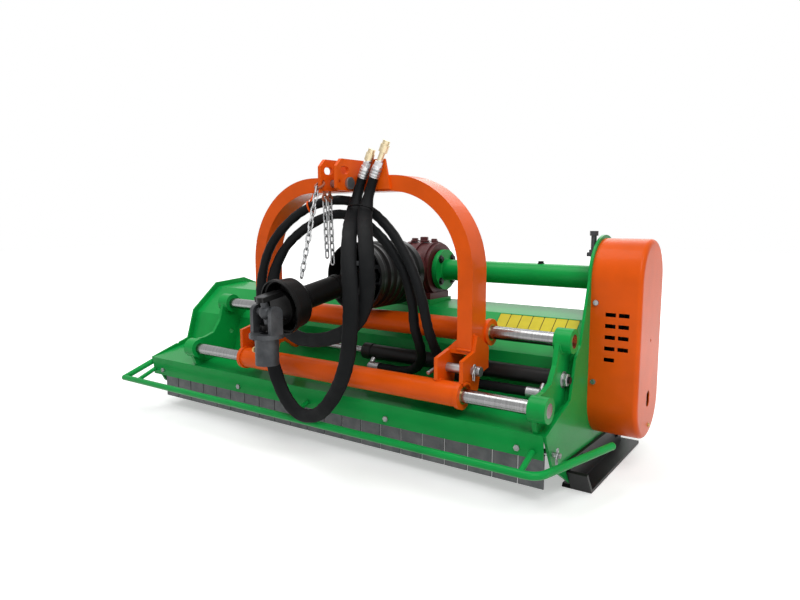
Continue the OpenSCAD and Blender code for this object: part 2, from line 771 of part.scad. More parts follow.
// Side-shift cylinder
ram_x1 = right_plate_x - 16;
module ram_barrel() {
    color(black) part_frame() {
        difference() {
            union() {
                xcyl(ram_x0, ram_x1 - ram_x0, ram_r, ram_y, ram_z);
                xcyl(ram_x0, 34, ram_r + 2.5, ram_y, ram_z);
            }
            xcyl(ram_x0 + 28, ram_x1 - ram_x0 - 40, ram_bore_r, ram_y, ram_z);
            xcyl(ram_x0 - 1, 40, rod_r + run_gap, ram_y, ram_z);
        }
        xcyl(ram_x1 - 2, 18, 18, ram_y, ram_z);
        xcyl(ram_x1, bracket_t + 38, stud_r, ram_y, ram_z);
        xhex(right_plate_x + bracket_t, 14, 17, ram_y, ram_z);
    }
}

// Elbow fittings on the barrel, with the hose ferrule along X
port_x = [[ram_x1 - 20, -1], [ram_x0 + 48, 1]];
port_reach = 56;
port_y = ram_y - port_reach * cos(45);
port_z = ram_z - port_reach * sin(45);
ferrule_l = 40;
module ram_ports() {
    color(brass) part_frame()
    for (p = port_x) {
        bar([p[0], ram_y - (ram_r + 0.2) * cos(45), ram_z - (ram_r + 0.2) * sin(45)], [p[0], port_y, port_z], 8);
        translate([p[0], port_y, port_z]) sphere(11);
        xcyl(p[1] > 0 ? p[0] : p[0] - ferrule_l, ferrule_l, hose_r, port_y, port_z);
    }
}

module ram_rod() {
    rod_x0 = hitch_x - inner_plate[0];
    color(chrome) part_frame() {
        xcyl(rod_x0, ram_x0 + piston_back - rod_x0, rod_r, ram_y, ram_z);
        xcyl(ram_x0 + piston_back, 34, ram_bore_r - run_gap, ram_y, ram_z);
        xcyl(rod_x0 - clevis_t - 18, clevis_t + 19, stud_r, ram_y, ram_z);
        xhex(rod_x0 - clevis_t - 14, 14, 17, ram_y, ram_z);
    }
}

// Hitch frame
module hitch_arch() {
    bend_z = arch_z - tube_w / 2 - arch_bend;
    bend_x = leg_half - arch_bend;
    color(orange) part_frame()
    difference() {
        translate([hitch_x, arch_y, 0]) {
            for (side = [-1, 1]) {
                translate([side * leg_half - tube_w / 2, 0, leg_z]) cube([tube_w, tube_d, bend_z - leg_z]);
                translate([side * bend_x, tube_d, bend_z]) rotate([90, 0, 0]) mirror([side < 0 ? 1 : 0, 0, 0])
                    rotate_extrude(angle = 90, $fn = 96) translate([arch_bend - tube_w / 2, 0]) square([tube_w, tube_d]);
            }
            translate([-bend_x, 0, arch_z - tube_w]) cube([2 * bend_x, tube_d, tube_w]);
        }
        translate([hitch_x, 0, 0]) sleeve_space(rear_shaft_y, rear_shaft_z);
    }
}

// The room that a sleeve and its collars take in the pieces welded to it
module sleeve_space(y, z) {
    xcyl(-sleeve_half - 20, 2 * sleeve_half + 40, sleeve_r + weld_gap, y, z);
    for (side = [-1, 1])
        xcyl(side > 0 ? sleeve_half - collar_l - weld_gap : -sleeve_half - 20, collar_l + weld_gap + 20,
            collar_r + weld_gap, y, z);
}

module sleeve(y, z) {
    color(orange) part_frame()
    difference() {
        union() {
            xcyl(hitch_x - sleeve_half, 2 * sleeve_half, sleeve_r, y, z);
            for (x = [-sleeve_half, sleeve_half - collar_l])
                xcyl(hitch_x + x, collar_l, collar_r, y, z);
        }
        xcyl(hitch_x - sleeve_half - 1, 2 * sleeve_half + 2, shaft_r + run_gap + bush_wall + fit_gap, y, z);
    }
}
module front_sleeve() { sleeve(front_shaft_y, front_shaft_z); }
module rear_sleeve() { sleeve(rear_shaft_y, rear_shaft_z); }

module sleeve_bushes() {
    color(brass) part_frame()
    for (p = [[front_shaft_y, front_shaft_z], [rear_shaft_y, rear_shaft_z]], x = [-sleeve_half, sleeve_half - bush_l])
        xring(hitch_x + x, bush_l, shaft_r + run_gap + bush_wall, shaft_r + run_gap, p[0], p[1]);
}

// A lower link clevis, drawn for the right side: two plates under a cap, with a sloping gusset to the leg
clevis_front = [lower_pin_y - 57, lower_pin_z + 36];
clevis_outline = [clevis_front, [arch_y, leg_z], [arch_y + tube_d, leg_z], [arch_y + tube_d, leg_z - 61],
    [lower_pin_y + 45, lower_pin_z - 19], [lower_pin_y + 33, front_shaft_z + 3],
    [front_shaft_y + sleeve_r + 4, front_shaft_z - 19], [front_shaft_y, front_shaft_z],
    [clevis_front[0], front_shaft_z + 37]];
module clevis(lug) {
    difference() {
        union() {
            yz(outer_plate[0], clevis_t) polygon(clevis_outline);
            yz(outer_plate[0], clevis_t) polygon([[arch_y, leg_z], [arch_y + 12, leg_z + 45],
                [arch_y + tube_d - 4, leg_z + 6], [arch_y + tube_d, leg_z]]);
            yz(inner_plate[0], clevis_t) polygon(clevis_outline);
            translate([inner_plate[0], arch_y, leg_z - cap_t]) cube([outer_plate[1] - inner_plate[0], tube_d, cap_t]);
            translate([0, arch_y + 4, 0]) translate([0, tube_d - 8, 0]) rotate([90, 0, 0]) linear_extrude(tube_d - 8)
                polygon([[inner_plate[0], leg_z - cap_t], [leg_out - tube_w - weld_gap, leg_z],
                    [leg_out - tube_w - weld_gap, leg_z + 30], [inner_plate[0], leg_z]]);
            if (lug) {
                xcyl(inner_plate[0], clevis_t, lug_r, ram_y, ram_z);
                yz(inner_plate[0], clevis_t) polygon([[arch_y + 40, leg_z - 4], [arch_y + tube_d, leg_z - 4],
                    [ram_y + lug_r - 4, ram_z + 14], [ram_y - 8, ram_z - lug_r + 2], [arch_y + 50, leg_z - 60]]);
            }
        }
        for (p = [outer_plate[0], inner_plate[0]])
            xcyl(p - 1, clevis_t + 2, lower_pin_r + fit_gap, lower_pin_y, lower_pin_z);
        sleeve_space(front_shaft_y, front_shaft_z);
        sleeve_space(rear_shaft_y, rear_shaft_z);
        if (lug) xcyl(inner_plate[0] - 1, clevis_t + 2, stud_r + fit_gap, ram_y, ram_z);
    }
}
module right_clevis() { color(orange) part_frame() translate([hitch_x, 0, 0]) clevis(false); }
module left_clevis() { color(orange) part_frame() translate([hitch_x, 0, 0]) mirror([1, 0, 0]) clevis(true); }

module lower_pin() {
    xcyl(inner_plate[0] - 14, clevis_gap + 2 * clevis_t + 40, lower_pin_r, lower_pin_y, lower_pin_z);
    xcyl(inner_plate[0] - 20, 8, lower_pin_r + 6, lower_pin_y, lower_pin_z);
    bar([inner_plate[0] - 16, lower_pin_y, lower_pin_z], [inner_plate[0] - 30, lower_pin_y - 42, lower_pin_z - 16], 6);
}
module lower_pins() {
    color(steel) part_frame() translate([hitch_x, 0, 0]) {
        lower_pin();
        mirror([1, 0, 0]) lower_pin();
    }
}
module pin_clips() {
    color(steel) part_frame() {
        for (side = [-1, 1])
            clip([hitch_x + side * (outer_plate[1] + 14), lower_pin_y - lower_pin_r - 2.3, lower_pin_z]);
        clip([hitch_x - top_gap / 2 - 26, top_pin_y - top_pin_r - 2.3, top_pin_z]);
    }
}

bracket_plate = 12;
module top_bracket() {
    color(orange) part_frame()
    for (x = [-top_gap / 2 - bracket_plate, top_gap / 2])
        difference() {
            yz(hitch_x + x, bracket_plate) polygon([[-45, bracket_z + 8], [-45, top_z - 22], [-23, top_z],
                [arch_y + 24, top_z], [arch_y + 38, arch_z], [arch_y, arch_z], [arch_y, bracket_z], [-30, bracket_z]]);
            xcyl(hitch_x + x - 1, bracket_plate + 2, top_pin_r + fit_gap, top_pin_y, top_pin_z);
            for (y = [-18, 0])
                xcyl(hitch_x + x - 1, bracket_plate + 2, 11, y, top_z - 34);
            translate([hitch_x + x - 1, -18, top_z - 45]) cube([bracket_plate + 2, 18, 22]);
            xcyl(hitch_x + x - 1, bracket_plate + 2, 5.4, shackle_hole[0], shackle_hole[1]);
        }
}
module top_pin() {
    color(steel) part_frame() {
        xcyl(hitch_x - top_gap / 2 - 36, top_gap + 54, top_pin_r, top_pin_y, top_pin_z);
        xcyl(hitch_x + top_gap / 2 + bracket_plate + 0.3, 8, top_pin_r + 6, top_pin_y, top_pin_z);
    }
}

// Two small hooks under the left plate and a ring shackle through its front corner
hook_x = hitch_x - top_gap / 2 - bracket_plate / 2;
hook_ys = [-22, 2];
hook_ring = 9;
hook_wire = 3.5;
hook_z = bracket_z - 12 - hook_ring;
shackle_hole = [-33, top_pin_z + 4];
shackle_ring = 15;
shackle_tilt = 40;
module chain_hook() {
    color("#8a3a2a") part_frame() {
        for (y = hook_ys) {
            zcyl(hook_x, y, bracket_z - 12, 12, 5);
            translate([hook_x, y, hook_z]) rotate([0, 90, 0]) rotate_extrude()
                translate([hook_ring, 0]) circle(hook_wire, $fn = 24);
        }
        translate([hook_x, shackle_hole[0], shackle_hole[1]]) rotate([shackle_tilt, 0, 0])
            translate([0, -shackle_ring, 0]) rotate_extrude() translate([shackle_ring, 0]) circle(hook_wire, $fn = 24);
    }
}

module coupler_holder() {
    plate_x0 = coupler_foot[0][0] - 12;
    color(orange) part_frame()
    translate([plate_x0, arch_y, 0]) rotate([90, 0, 0]) linear_extrude(8)
        polygon([[0, arch_z - tube_w + 6], [92, arch_z - tube_w + 6], [72, top_z], [22, top_z]]);
}
module quick_couplers() {
    color(brass) part_frame()
    for (i = [0, 1])
        translate(coupler_foot[i]) rotate([0, coupler_tilt, 0]) {
            translate([0, 0, -30]) cylinder(h = 36, r = hose_r);
            cylinder(h = coupler_l[i] - 12, r = 9);
            translate([0, 0, 6]) cylinder(h = 14, r = 13.7, $fn = 6);
            translate([0, 0, coupler_l[i] - 36]) cylinder(h = 24, r = 13.7);
            translate([0, 0, coupler_l[i] - 14]) cylinder(h = 14, r = 11);
        }
}

// Drive shaft
module rear_cross() {
    color(steel) part_frame() translate(joint) {
        zcyl(0, 0, -ear_out, 2 * ear_out, trunnion_r);
        rotate([0, 0, shaft_yaw]) xcyl(-ear_out, 2 * ear_out, trunnion_r, 0, 0);
        sphere(ear_half);
    }
}

inner_tube_r = 18 - run_gap;
inner_guard_r = guard_r - 4.3;
module shaft_rear_half() {
    color(black) part_frame() shaft_frame() {
        rotate([0, 0, 180]) rotate([0, 90, 0]) joint_yoke();
        ycyl(0, -ear_back - yoke_disc - 22, 22, 24, 0);
        ycyl(0, -shaft_l + 120, shaft_l - 120 - ear_back - yoke_disc, inner_tube_r, 0);
        difference() {
            ycyl(0, -shaft_l + 174, shaft_l - 174 - ear_back - yoke_disc, inner_guard_r, 0);
            ycyl(0, -shaft_l + 173, shaft_l - 174 - ear_back - yoke_disc + 1 - 6, inner_guard_r - 3, 0);
        }
    }
}

module shaft_front_half() {
    color(black) part_frame() shaft_frame() {
        translate([0, -shaft_l, 0]) joint_yoke();
        difference() {
            ycyl(0, -shaft_l + ear_back + yoke_disc, 180, 22, 0);
            ycyl(0, -shaft_l + ear_back + yoke_disc + 6, 180, 18, 0);
        }
        difference() {
            union() {
                ycyl(0, -shaft_l + 105, shaft_l - 105 - 124, guard_r, 0);
                ycyl(0, -124 - 16, 16, guard_r + 2, 0);
            }
            ycyl(0, -shaft_l + 117, shaft_l, guard_r - 4, 0);
            ycyl(0, -shaft_l + 104, 40, 22 + fit_gap, 0);
        }
    }
}

module front_guard_cone() {
    color(black) part_frame() shaft_frame() translate([0, -shaft_l, 0]) rotate([-90, 0, 0])
    rotate_extrude($fn = 72) polygon([[cone_r, 45], [cone_r, 57], [cone_r - 4, 60], [cone_r - 9, 104],
        [cone_r - 18, 114], [guard_r + 5, 120], [guard_r + 5, 140], [guard_r + weld_gap, 140],
        [guard_r + weld_gap, 104.8], [22.3, 104.8], [22.3, 100], [cone_r - 16, 100], [cone_r - 8, 57],
        [cone_r - 4, 55], [cone_r - 4, 45]]);
}

module front_cross() {
    color(steel) part_frame() {
        yoke_frame() xcyl(-ear_out, 2 * ear_out, trunnion_r, 0, 0);
        shaft_frame() translate([0, -shaft_l, 0]) {
            zcyl(0, 0, -ear_out, 2 * ear_out, trunnion_r);
            sphere(ear_half);
        }
    }
}

module tractor_yoke() {
    color(steel) part_frame() yoke_frame()
    difference() {
        union() {
            for (side = [-1, 1]) {
                xcyl(side > 0 ? ear_in : -ear_out, ear_out - ear_in, ear_half, 0, 0);
                translate([side > 0 ? ear_in : -ear_out, -ear_half, hub_z[1]]) cube([ear_out - ear_in, 2 * ear_half, -hub_z[1]]);
            }
            zcyl(0, 0, hub_z[1] - yoke_disc, yoke_disc, ear_out + 1);
            zcyl(0, 0, hub_z[0], hub_z[1] - hub_z[0] - yoke_disc, yoke_r);
            xcyl(-yoke_r - 12, 14, 10, 0, -pin_drop);
        }
        xcyl(-ear_out - 1, 2 * ear_out + 2, trunnion_r + run_gap, 0, 0);
        zcyl(0, 0, hub_z[0] - 1, hub_z[1] - hub_z[0] + 2, yoke_bore_r);
        xcyl(-yoke_r - 14, yoke_r - yoke_bore_r + 18, 5 + run_gap, 0, -pin_drop);
    }
}
module push_pin() {
    color(brass) part_frame() yoke_frame() {
        xcyl(-yoke_r - 20, yoke_r - yoke_bore_r + 12, 5, 0, -pin_drop);
        xcyl(-yoke_r - 26, 7, 8, 0, -pin_drop);
    }
}

// Chains: oval links, each turned a quarter from the last, along a straight run
link_inner = link_pitch + 0.4;
link_half_w = link_wire * 1.6 + link_wire;
module chain_link() {
    run = (link_inner - 2 * (link_half_w - link_wire)) / 2;
    for (side = [-1, 1]) {
        translate([side * link_half_w, 0, -run]) cylinder(h = 2 * run, r = link_wire, $fn = 20);
        translate([0, 0, side * run]) rotate([90, 0, 0]) rotate([0, 0, side > 0 ? 0 : 180])
            rotate_extrude(angle = 180, $fn = 24) translate([link_half_w, 0]) circle(link_wire, $fn = 20);
    }
}
module chain(p, q) {
    d = unit(q - p);
    for (i = [0:floor(norm(q - p) / link_pitch) - 1])
        translate(p + d * link_pitch * (i + 0.5)) rotate([0, acos(d[2]), atan2(d[1], d[0])])
            rotate([0, 0, 90 * (i % 2)]) chain_link();
}
shackle_foot = [hook_x, shackle_hole[0] - 2 * shackle_ring * cos(shackle_tilt),
    shackle_hole[1] - 2 * shackle_ring * sin(shackle_tilt)];
long_run_end = [150, -166, 592];
long_run_start = shackle_foot + unit(shackle_foot - long_run_end) * (hook_wire - 0.1);
function hook_start(y) = [hook_x, y, hook_z - hook_ring + hook_wire + 0.1];
chain_runs = [[long_run_start, long_run_end], [hook_start(hook_ys[0]), [hook_x + 7, hook_ys[0], 650]],
    [hook_start(hook_ys[1]), [hook_x + 9, hook_ys[1], 625]]];
module safety_chains() { color(steel) part_frame() for (run = chain_runs) chain(run[0], run[1]); }

// Hoses: one smooth tube along hand-chosen points
coupler_axis = [sin(coupler_tilt), 0, cos(coupler_tilt)];
long_route = [[209, 37, 864], [205, 26, 828], [214, 0, 786], [246, -56, 738], [292, -120, 650], [318, -144, 550],
    [312, -142, 450], [284, -128, 350], [226, -112, 250], [150, -104, 176], [64, -98, 164], [-10, -92, 220],
    [-70, -82, 330], [-112, -72, 450], [-126, -60, 570], [-98, -36, 690], [-26, 14, 786], [74, 56, 828],
    [190, 62, 816], [306, 40, 752], [394, 12, 660], [444, 4, 560], [456, 32, 454], [456, 74, 386], [465, 99, 347],
    [491, 119, 314], [530, 133, 292], [576, 138, 284], [650, 138, 284]];
short_route = [[253, 37, 864], [249, 26, 828], [259, 0, 786], [296, -48, 738], [340, -98, 650], [344, -104, 560],
    [304, -96, 480], [220, -88, 426], [120, -80, 400], [30, -74, 404], [-44, -64, 450],
    [-84, -52, 526], [-86, -36, 606], [-54, -12, 684], [10, 20, 746], [104, 38, 784],
    [204, 38, 770], [300, 26, 712], [370, 18, 630], [404, 20, 540], [407, 36, 456], [406, 74, 386], [397, 99, 347],
    [371, 119, 314], [332, 133, 292], [286, 138, 284]];
long_start = coupler_foot[0] - 30.2 * coupler_axis;
short_start = coupler_foot[1] - 30.2 * coupler_axis;
long_end = [port_x[0][0] - ferrule_l - 0.2, port_y, port_z];
short_end = [port_x[1][0] + ferrule_l + 0.2, port_y, port_z];

function spline(a, b, c, d, t) = 0.5 * (2 * b + (c - a) * t + (2 * a - 5 * b + 4 * c - d) * t * t
    + (3 * b - a - 3 * c + d) * t * t * t);
function smooth(pts) = let (n = len(pts)) concat(
    [for (i = [0:n - 2], t = norm(pts[i + 1] - pts[i]) > 100 ? [0, 0.5] : [0])
        spline(pts[max(i - 1, 0)], pts[i], pts[i + 1], pts[min(i + 2, n - 1)], t)], [pts[n - 1]]);
hose_sides = 8;
// The first and last directions are those of the fittings at its ends
module hose(pts, first, last) {
    path = smooth(pts);
    n = len(path);
    tangents = [for (i = [0:n - 1]) i == 0 ? first : i == n - 1 ? last : unit(path[i + 1] - path[i - 1])];
    normals = [for (i = 0, v = unit(cross(tangents[0], [0, 1, 0])); i < n; i = i + 1,
        v = i < n ? unit(v - tangents[i] * (v * tangents[i])) : v) v];
    points = [for (i = [0:n - 1], k = [0:hose_sides - 1]) path[i] + hose_r * (cos(k * 360 / hose_sides) * normals[i]
        + sin(k * 360 / hose_sides) * cross(tangents[i], normals[i]))];
    function at(i, k) = i * hose_sides + k % hose_sides;
    polyhedron(points, concat([[for (k = [hose_sides - 1:-1:0]) at(0, k)]], [[for (k = [0:hose_sides - 1]) at(n - 1, k)]],
        [for (i = [0:n - 2], k = [0:hose_sides - 1]) each [[at(i, k), at(i, k + 1), at(i + 1, k + 1)],
            [at(i, k), at(i + 1, k + 1), at(i + 1, k)]]]));
}
module hose_long() {
    color(black) part_frame() hose(concat([long_start], long_route, [long_end]), -coupler_axis, [1, 0, 0]);
}
module hose_short() {
    color(black) part_frame() hose(concat([short_start], short_route, [short_end]), -coupler_axis, [-1, 0, 0]);
}

deck_shell();
left_side_plate();
right_side_plate();
left_shaft_bracket();
right_shaft_bracket();
front_slide_shaft();
rear_slide_shaft();
axle_tube();
gearbox_pedestal();
gearbox_housing();
gearbox_plugs();
input_yoke();
guard_bell();
belt_cover();
cover_screws();
belt_tensioner();
drive_belts();
front_bumper();
skirt_bolts();
flap_rod();
rod_clip();
left_skid();
right_skid();
roller_brackets();
ram_barrel();
ram_ports();
rotor_bearings();
rotor_tube();
rotor_flails();
rotor_pulley();
drive_shaft();
drive_pulley();
rear_roller();
left_flaps();
middle_flaps();
right_flaps();
hitch_arch();
front_sleeve();
rear_sleeve();
sleeve_bushes();
left_clevis();
right_clevis();
lower_pins();
pin_clips();
top_bracket();
top_pin();
chain_hook();
coupler_holder();
quick_couplers();
ram_rod();
rear_cross();
shaft_rear_half();
shaft_front_half();
front_guard_cone();
front_cross();
tractor_yoke();
push_pin();
safety_chains();
hose_long();
hose_short();
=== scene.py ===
"""Flail mower dressed for looks: hoses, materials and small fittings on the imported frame."""
import json
import math

import bmesh
import bpy
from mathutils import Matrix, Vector


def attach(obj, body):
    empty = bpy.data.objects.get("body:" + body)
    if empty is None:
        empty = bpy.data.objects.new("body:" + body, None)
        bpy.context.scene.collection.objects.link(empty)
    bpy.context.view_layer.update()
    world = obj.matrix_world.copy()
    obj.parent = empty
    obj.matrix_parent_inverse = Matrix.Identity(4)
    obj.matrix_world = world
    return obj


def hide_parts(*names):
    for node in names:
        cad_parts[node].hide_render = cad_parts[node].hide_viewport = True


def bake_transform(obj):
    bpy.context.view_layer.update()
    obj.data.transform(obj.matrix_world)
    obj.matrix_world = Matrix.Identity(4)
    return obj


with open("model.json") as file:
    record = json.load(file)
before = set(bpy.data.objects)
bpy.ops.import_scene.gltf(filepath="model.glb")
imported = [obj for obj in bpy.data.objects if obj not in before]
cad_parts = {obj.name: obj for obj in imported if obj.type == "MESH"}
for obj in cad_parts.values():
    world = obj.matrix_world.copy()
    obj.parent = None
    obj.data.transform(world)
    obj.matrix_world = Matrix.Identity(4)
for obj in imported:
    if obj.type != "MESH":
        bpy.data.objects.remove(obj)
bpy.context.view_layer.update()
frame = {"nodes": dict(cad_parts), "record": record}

NODES = frame["nodes"]
# The row frame's origin in the frame of the part's source, in metres
ORIGIN = Vector((0.03175, 0.2425, 0.0))
# Axes along X that several pieces sit on, as (y, z) in millimetres of the part's source
FRONT_SHAFT = (7, 281)
REAR_SHAFT = (176, 436)
AXLE = (437, 591)
# The hood's upper front edge as (y, z), and how far its front slope runs forward and falls
HOOD_EDGE = (345, 470)
HOOD_RUN = 117
HOOD_FALL = 98
ALONG_X = (1, 0, 0)
UP = (0, 0, 1)


def at(x, y, z):
    """A point of the part's source, given in millimetres, in the row frame."""
    return Vector((x, y, z)) / 1000 - ORIGIN


# Camera, fitted to the photograph
CAMERA_PLACE = at(1448, -1529, 777)
CAMERA_TURN = (math.radians(90 - 7.375), 0.0, math.radians(34.781))
CAMERA_LENS = 28.91
CAMERA_SENSOR = 36


def make_camera():
    data = bpy.data.cameras.new("camera")
    data.lens = CAMERA_LENS
    data.sensor_width = CAMERA_SENSOR
    camera = bpy.data.objects.new("camera", data)
    camera.location = CAMERA_PLACE
    camera.rotation_euler = CAMERA_TURN
    bpy.context.scene.collection.objects.link(camera)
    bpy.context.scene.camera = camera


make_camera()

# Materials
EDGE_ROUND = 0.0015
EDGE_SAMPLES = 4
# The noise values between which a colour, a roughness or the weave goes from its first to its second tone
TONES = (0.3, 0.7)
ROUGH_TONES = (0.25, 0.8)
WEAVE_TONES = (0.1, 0.9)
GREEN = (0.004, 0.3, 0.055)
ORANGE = (0.72, 0.092, 0.003)
MAROON = (0.07, 0.012, 0.013)
# Height in metres above which the couplers are brass
COUPLER_SPLIT = 0.943


def node_tree(name):
    material = bpy.data.materials.new(name)
    material.use_nodes = True
    nodes = material.node_tree.nodes
    return material, nodes, material.node_tree.links, nodes["Principled BSDF"]


def greys(low, high):
    return (low, low, low), (high, high, high)


def shades(colour, low, high):
    """The colour made darker or lighter by each of two factors."""
    return tuple(tuple(min(1.0, c * factor) for c in colour) for factor in (low, high))


def noise(nodes, links, scale, detail=4, stretch=None):
    """A noise texture in object space, stretched along an axis if asked."""
    where = nodes.new("ShaderNodeTexCoord").outputs["Object"]
    texture = nodes.new("ShaderNodeTexNoise")
    texture.inputs["Scale"].default_value = scale
    texture.inputs["Detail"].default_value = detail
    if stretch:
        mapping = nodes.new("ShaderNodeMapping")
        mapping.inputs["Scale"].default_value = stretch
        links.new(where, mapping.inputs["Vector"])
        where = mapping.outputs["Vector"]
    links.new(where, texture.inputs["Vector"])
    return texture.outputs["Fac"]


def ramp(nodes, links, source, colours, stops=TONES):
    """Goes from the first colour to the second as the source value goes from the first stop to the second."""
    band = nodes.new("ShaderNodeValToRGB")
    for element, place, colour in zip(band.color_ramp.elements, stops, colours):
        element.position = place
        element.color = (*colour, 1)
    links.new(source, band.inputs["Fac"])
    return band.outputs["Color"]


def combine(nodes, links, operation, first, second):
    """A math node on two values, of which the second may be a plain number."""
    node = nodes.new("ShaderNodeMath")
    node.operation = operation
    links.new(first, node.inputs[0])
    if isinstance(second, float):
        node.inputs[1].default_value = second
    else:
        links.new(second, node.inputs[1])
    return node.outputs["Value"]


def bump(nodes, links, height, strength, distance, edge=EDGE_ROUND):
    """Bump, over softly rounded edges unless edge is 0."""
    node = nodes.new("ShaderNodeBump")
    node.inputs["Strength"].default_value = strength
    node.inputs["Distance"].default_value = distance
    links.new(height, node.inputs["Height"])
    if edge:
        bevel = nodes.new("ShaderNodeBevel")
        bevel.samples = EDGE_SAMPLES
        bevel.inputs["Radius"].default_value = edge
        links.new(bevel.outputs["Normal"], node.inputs["Normal"])
    return node.outputs["Normal"]


def surface(name, colours, scale, rough, relief_scale, relief, metallic=0.0, stretch=None, gloss=0.5):
    """A material whose colour, roughness and relief vary with noise. colours and rough are (low, high)."""
    material, nodes, links, shader = node_tree(name)
    broad = noise(nodes, links, scale, stretch=stretch)
    fine = noise(nodes, links, relief_scale, detail=3, stretch=stretch)
    links.new(ramp(nodes, links, broad, colours), shader.inputs["Base Color"])
    links.new(ramp(nodes, links, fine, greys(*rough), ROUGH_TONES), shader.inputs["Roughness"])
    links.new(bump(nodes, links, fine, strength=0.25, distance=relief), shader.inputs["Normal"])
    shader.inputs["Metallic"].default_value = metallic
    shader.inputs["Specular IOR Level"].default_value = gloss
    return material


def paint(name, colour):
    """Enamel: a faint drift of colour, the fine ripple of sprayed paint and a thin clear coat."""
    material = surface(name, shades(colour, 0.88, 1.1), scale=7, rough=(0.3, 0.46), relief_scale=420,
                       relief=0.0004, gloss=0.1)
    shader = material.node_tree.nodes["Principled BSDF"]
    shader.inputs["Coat Weight"].default_value = 0.25
    shader.inputs["Coat IOR"].default_value = 1.2
    shader.inputs["Coat Roughness"].default_value = 0.05
    return material


def sleeve_cloth():
    """A woven nylon sleeve: two crossing sets of threads in the tube's own UV map."""
    material, nodes, links, shader = node_tree("woven_sleeve")
    where = nodes.new("ShaderNodeTexCoord")
    threads = []
    for turn in (45, -45):
        mapping = nodes.new("ShaderNodeMapping")
        mapping.inputs["Rotation"].default_value = (0, 0, math.radians(turn))
        wave = nodes.new("ShaderNodeTexWave")
        wave.inputs["Scale"].default_value = 110
        wave.inputs["Distortion"].default_value = 0.4
        links.new(where.outputs["UV"], mapping.inputs["Vector"])
        links.new(mapping.outputs["Vector"], wave.inputs["Vector"])
        threads.append(wave.outputs["Fac"])
    weave = combine(nodes, links, "MULTIPLY", *threads)
    colours = ((0.002, 0.0024, 0.0028), (0.007, 0.008, 0.009))
    links.new(ramp(nodes, links, weave, colours, WEAVE_TONES), shader.inputs["Base Color"])
    broad = noise(nodes, links, scale=14)
    links.new(ramp(nodes, links, broad, greys(0.5, 0.68)), shader.inputs["Roughness"])
    links.new(bump(nodes, links, weave, strength=0.5, distance=0.0006, edge=0), shader.inputs["Normal"])
    shader.inputs["Specular IOR Level"].default_value = 0.12
    return material


def coupler_metal():
    """Zinc plate on the crimped ends and nuts, brass on the couplers above COUPLER_SPLIT."""
    material, nodes, links, shader = node_tree("coupler_metal")
    where = nodes.new("ShaderNodeTexCoord")
    place = nodes.new("ShaderNodeSeparateXYZ")
    links.new(where.outputs["Object"], place.inputs["Vector"])
    above = combine(nodes, links, "GREATER_THAN", place.outputs["Z"], COUPLER_SPLIT)
    tone = noise(nodes, links, scale=60)
    zinc = ramp(nodes, links, tone, ((0.5, 0.5, 0.52), (0.68, 0.68, 0.68)))
    brass = ramp(nodes, links, tone, ((0.5, 0.4, 0.24), (0.72, 0.62, 0.42)))
    both = nodes.new("ShaderNodeMix")
    both.data_type = "RGBA"
    links.new(above, both.inputs["Factor"])
    links.new(zinc, both.inputs["A"])
    links.new(brass, both.inputs["B"])
    links.new(both.outputs["Result"], shader.inputs["Base Color"])
    links.new(ramp(nodes, links, tone, greys(0.25, 0.4)), shader.inputs["Roughness"])
    links.new(bump(nodes, links, tone, strength=0.2, distance=0.0004), shader.inputs["Normal"])
    shader.inputs["Metallic"].default_value = 0.9
    return material


FINISHES = {
    "maroon_casting": dict(colours=shades(MAROON, 0.8, 1.3), scale=16, rough=(0.35, 0.55),
                           relief_scale=190, relief=0.002, gloss=0.25),
    "black_casting": dict(colours=greys(0.006, 0.014), scale=16, rough=(0.5, 0.7),
                          relief_scale=190, relief=0.002, gloss=0.2),
    "chromed_steel": dict(colours=greys(0.22, 0.3), scale=5, rough=(0.16, 0.28),
                          relief_scale=60, relief=0.0002, metallic=1.0, stretch=(60, 1, 1)),
    "zinc_steel": dict(colours=((0.29, 0.3, 0.31), (0.42, 0.42, 0.42)), scale=35, rough=(0.3, 0.5),
                       relief_scale=150, relief=0.0006, metallic=0.9),
    "bare_steel": dict(colours=((0.035, 0.038, 0.042), (0.08, 0.083, 0.088)), scale=22, rough=(0.4, 0.6),
                       relief_scale=130, relief=0.001, metallic=0.6, gloss=0.3),
    "red_iron": dict(colours=((0.2, 0.05, 0.02), (0.32, 0.08, 0.03)), scale=40, rough=(0.5, 0.7),
                     relief_scale=160, relief=0.001),
    "black_paint": dict(colours=greys(0.003, 0.008), scale=10, rough=(0.35, 0.5),
                        relief_scale=300, relief=0.0006, gloss=0.2),
    "black_plastic": dict(colours=greys(0.0025, 0.005), scale=8, rough=(0.3, 0.45),
                          relief_scale=700, relief=0.0005, gloss=0.12),
    "black_rubber": dict(colours=greys(0.006, 0.012), scale=20, rough=(0.7, 0.85),
                         relief_scale=300, relief=0.0008, gloss=0.2),
    "brass": dict(colours=((0.42, 0.27, 0.09), (0.6, 0.42, 0.17)), scale=30, rough=(0.25, 0.42),
                  relief_scale=200, relief=0.0004, metallic=1.0),
    "flap_steel": dict(colours=((0.075, 0.08, 0.083), (0.125, 0.13, 0.133)), scale=26, rough=(0.42, 0.6),
                       relief_scale=120, relief=0.0008, metallic=0.55),
    "yellow_film": dict(colours=((0.56, 0.47, 0.008), (0.64, 0.54, 0.015)), scale=30, rough=(0.35, 0.5),
                        relief_scale=300, relief=0.0003, gloss=0.2),
}
MATERIALS = {name: surface(name, **finish) for name, finish in FINISHES.items()}
MATERIALS["green_paint"] = paint("green_paint", GREEN)
MATERIALS["orange_paint"] = paint("orange_paint", ORANGE)
MATERIALS["hose_sleeve"] = sleeve_cloth()
MATERIALS["coupler_metal"] = coupler_metal()
